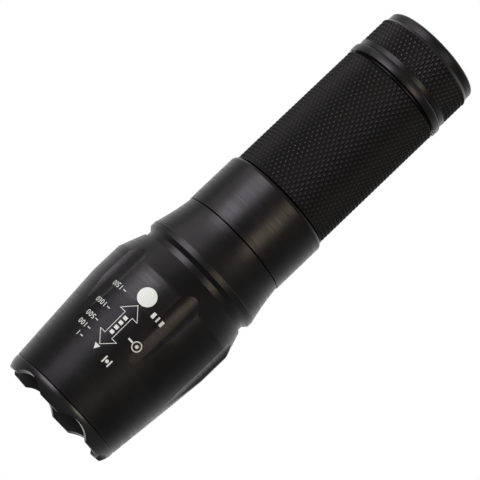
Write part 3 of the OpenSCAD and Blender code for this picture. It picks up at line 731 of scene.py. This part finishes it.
tail_spring = coil("tail_contact_spring", r0=6.4, r1=4.4, z0=10.85, z1=16.95, wire_r=0.5, turns=4.5)
keep_only(tail_spring)
bpy.ops.object.shade_smooth_by_angle(angle=math.radians(40))
tail_spring.data.materials.append(spring_steel)
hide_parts("tail_spring")
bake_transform(tail_spring)

# Tail cap: turned from bar like the tube and screwed onto its tail thread. It has its own
# belt of knurl, a plain band, a groove and a raised mouth ring, and a hole for the boot.
cap_r, band_r, mouth_r, mouth_z1 = 15.6, 15.5, 15.75, 15.75
cap_thread_r, cap_bore_r = 14.78, 12.6
cap_knurl_z0, cap_knurl_z1, cap_rows = 3.85, 11.4, 6
tail_cap = turned("knurled_tail_cap", [
    (8.4, 2.4), (8.4, 0.5), (8.5, 0.2), (8.9, 0.0), *arc(14.0, 1.0, 1.0, -90, 0, 8),
    (15.0, 2.7), (cap_r, 3.7),
    *knurl_rings(cap_r, cap_knurl_z0, cap_knurl_z1, cap_rows),
    (cap_r, 11.5), (band_r, 11.65), (band_r, 13.1), (band_r - 0.08, 13.18),
    (band_r - 0.08, 13.22), (band_r, 13.3),
    *arc(15.65, 13.95, 0.4, -90, 0, 4), *arc(mouth_r, mouth_z1 - 0.3, 0.3, 0, 90, 4),
    (15.58, mouth_z1), (15.58, 14.65), (cap_thread_r, 14.65),
    *[(2 * cap_thread_r - r, z)
      for r, z in reversed(thread(cap_thread_r, 11.1, 14.3, pitch, thread_depth))],
    (cap_thread_r, 10.9), (cap_bore_r, 10.9), (cap_bore_r, 2.4),
], steps=2 * knurl_starts)
knurl(tail_cap, cap_r, cap_knurl_z0, cap_knurl_z1, cap_rows)
# The cap's knurl tips are painted lighter than the tube's: a stronger painted highlight
finished(tail_cap, knurled("hard_anodised_cap_knurl", "#131212", "#403d3d", cap_r),
         "cap", "black_anodised", "tail_cap", angle=20)
smooth_outside(tail_cap, satin_black, cap_knurl_z0, cap_knurl_z1)

# Switch boot: moulded rubber, its dome in the cap's hole and its flange clamped inside.
boot_rubber = moulded_rubber("silicone_rubber_boot", "#161616", rough=0.6)
switch_boot = turned("rubber_switch_boot", [
    (pole, 0.4), (2.5, 0.41), (5.0, 0.46), (6.3, 0.55), *arc(7.2, 1.4, 1.0, -60, 0, 6),
    (8.2, 2.4), (12.4, 2.4), (12.4, 3.6), (7.0, 3.6), (7.0, 1.9), (6.7, 1.6), (pole, 1.6),
], steps=96, closed=False)
finished(switch_boot, boot_rubber, "cap", "black_rubber", "switch_boot", angle=35)
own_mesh(switch_boot)

# Switch: a latching click switch soldered to its board, with a nylon plunger and a small
# return spring, held in the cap by a brass ring with two key holes.
nylon = component("moulded_nylon", "#bdb9ab", "#cdc9bd", rough=0.45, speck_size=0.3)
carried(nylon, "switch_plunger")
return_spring = coil("switch_spring", r0=1.45, r1=1.45, z0=2.7, z1=7.9, wire_r=0.22, turns=5.5,
                     per_turn=20, sides=8)
finished(return_spring, spring_steel, "cap", "spring_steel", "switch_return_spring", angle=40)
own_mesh(return_spring)

# Studio: a round pale table, a white surround, a cool soft light to the right of the
# camera with a wide weak one beside it, a weaker warm one to its left, and one behind.
# The table stands below the lowest place that the drawn-out cell and cap reach.
table_r, table_z = 85.0, -84.0
bpy.ops.object.select_all(action="DESELECT")
bpy.ops.mesh.primitive_circle_add(vertices=128, radius=table_r * mm, fill_type="NGON",
                                  location=(0, 0, table_z * mm))
table = bpy.context.object
table.name = "pale_table"
bpy.ops.object.mode_set(mode="EDIT")
bpy.ops.mesh.select_all(action="SELECT")
bpy.ops.mesh.inset(thickness=0.004)
bpy.ops.object.mode_set(mode="OBJECT")
laminate, laminate_surface = new_finish(
    "backlit_white_acrylic", Roughness=0.6, Specular_IOR_Level=0.2,
    Emission_Color=linear("#ffffff"), Emission_Strength=1.0)
paper = grain(laminate, even, size=6.0, detail=2.0)
link(laminate, tint(laminate, paper, "#f2f2f1", "#f8f8f7"), laminate_surface, "Base Color")
table.data.materials.append(laminate)

world = bpy.data.worlds.new("white_surround")
bpy.context.scene.world = world
world.use_nodes = True
world.node_tree.nodes["Background"].inputs["Color"].default_value = (1.0, 1.0, 1.0, 1.0)
world.node_tree.nodes["Background"].inputs["Strength"].default_value = 1.0


def soft_light(name, bearing, distance, z, width, height, power, colour):
    """A rectangular soft light aimed at the middle of the flashlight, in metres and watts.

    Its bearing is in degrees from the front towards +X."""
    place = Vector((distance * math.sin(math.radians(bearing)),
                    -distance * math.cos(math.radians(bearing)), z))
    light = bpy.data.lights.new(name, "AREA")
    light.shape = "RECTANGLE"
    light.size, light.size_y = width, height
    light.energy = power
    light.color = linear(colour)[:3]
    lamp = bpy.data.objects.new(name, light)
    lamp.location = place
    lamp.rotation_euler = (Vector((0, 0, 0.075)) - place).to_track_quat("-Z", "Y").to_euler()
    bpy.context.collection.objects.link(lamp)


# Each light is wider than the flashlight is long, so its shine has soft edges
soft_light("cool_key", bearing=48, distance=0.7, z=-0.02, width=0.44, height=0.34,
           power=8.0, colour="#f2f3ff")
soft_light("warm_fill", bearing=-26, distance=0.7, z=-0.06, width=0.26, height=0.26,
           power=3.5, colour="#fff9e0")
soft_light("side_wash", bearing=66, distance=0.7, z=-0.22, width=0.8, height=0.5,
           power=5.0, colour="#ffffff")
soft_light("back_light", bearing=181, distance=0.7, z=-0.05, width=0.16, height=0.3,
           power=1.3, colour="#ffffff")

# Camera: a long lens a little above the light, turned so that it lies across the frame.
camera_data = bpy.data.cameras.new("camera")
camera_data.lens = 186.4
camera_data.sensor_width = 36
camera = bpy.data.objects.new("camera", camera_data)
bpy.context.collection.objects.link(camera)
drop = math.radians(8.8)
distance = 0.66
# The axis runs across the picture and up it in these shares
across, upward = 0.724, 0.690
ahead = Vector((0, math.cos(drop), -math.sin(drop)))
tailward = Vector((0, -math.sin(drop), -math.cos(drop)))
sideways = Vector((-1, 0, 0))
right = across * tailward + upward * sideways
up = upward * tailward - across * sideways
aim = Vector((-0.0005, 0, 0.0732))
turn = Matrix((right, up, -ahead)).transposed().to_4x4()
camera.matrix_world = Matrix.Translation(aim - distance * ahead) @ turn
bpy.context.scene.camera = camera
bpy.context.scene.view_settings.view_transform = "Standard"
